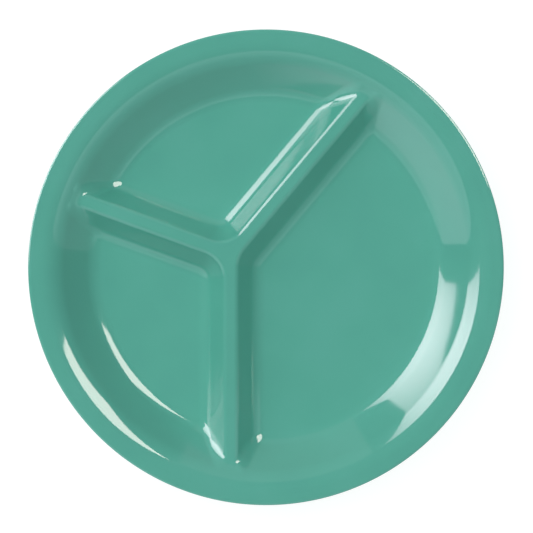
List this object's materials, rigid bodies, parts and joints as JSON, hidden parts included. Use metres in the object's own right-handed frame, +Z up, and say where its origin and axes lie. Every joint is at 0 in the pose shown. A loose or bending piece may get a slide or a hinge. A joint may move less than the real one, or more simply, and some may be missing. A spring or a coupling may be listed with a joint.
{
  "type": "divided compartment plate",
  "caption": "Round plate with a raised rim, a sloping side wall and dividers that run together in a Y and part its floor into compartments.",
  "frame": {"origin": "the plate's centre, on the plane that it stands on", "axes": "+Z up, +X along the plate's line of symmetry towards the large compartment, the stem divider along -X"},
  "size_m": [0.26, 0.26, 0.0254],
  "materials": {
    "melamine": "high gloss from a polished mould, teal green",
    "foot_melamine": "the same moulding, ground flat and satin where it stands"
  },
  "bodies": {
    "root": {"rim": "melamine", "side_wall": "melamine", "main_floor": "melamine", "left_floor": "melamine", "right_floor": "melamine", "stem_divider": "melamine", "left_divider": "melamine", "right_divider": "melamine", "hub_top": "melamine", "main_hub_corner": "melamine", "left_hub_corner": "melamine", "right_hub_corner": "melamine", "foot_ring": "foot_melamine"}
  },
  "joints": []
}
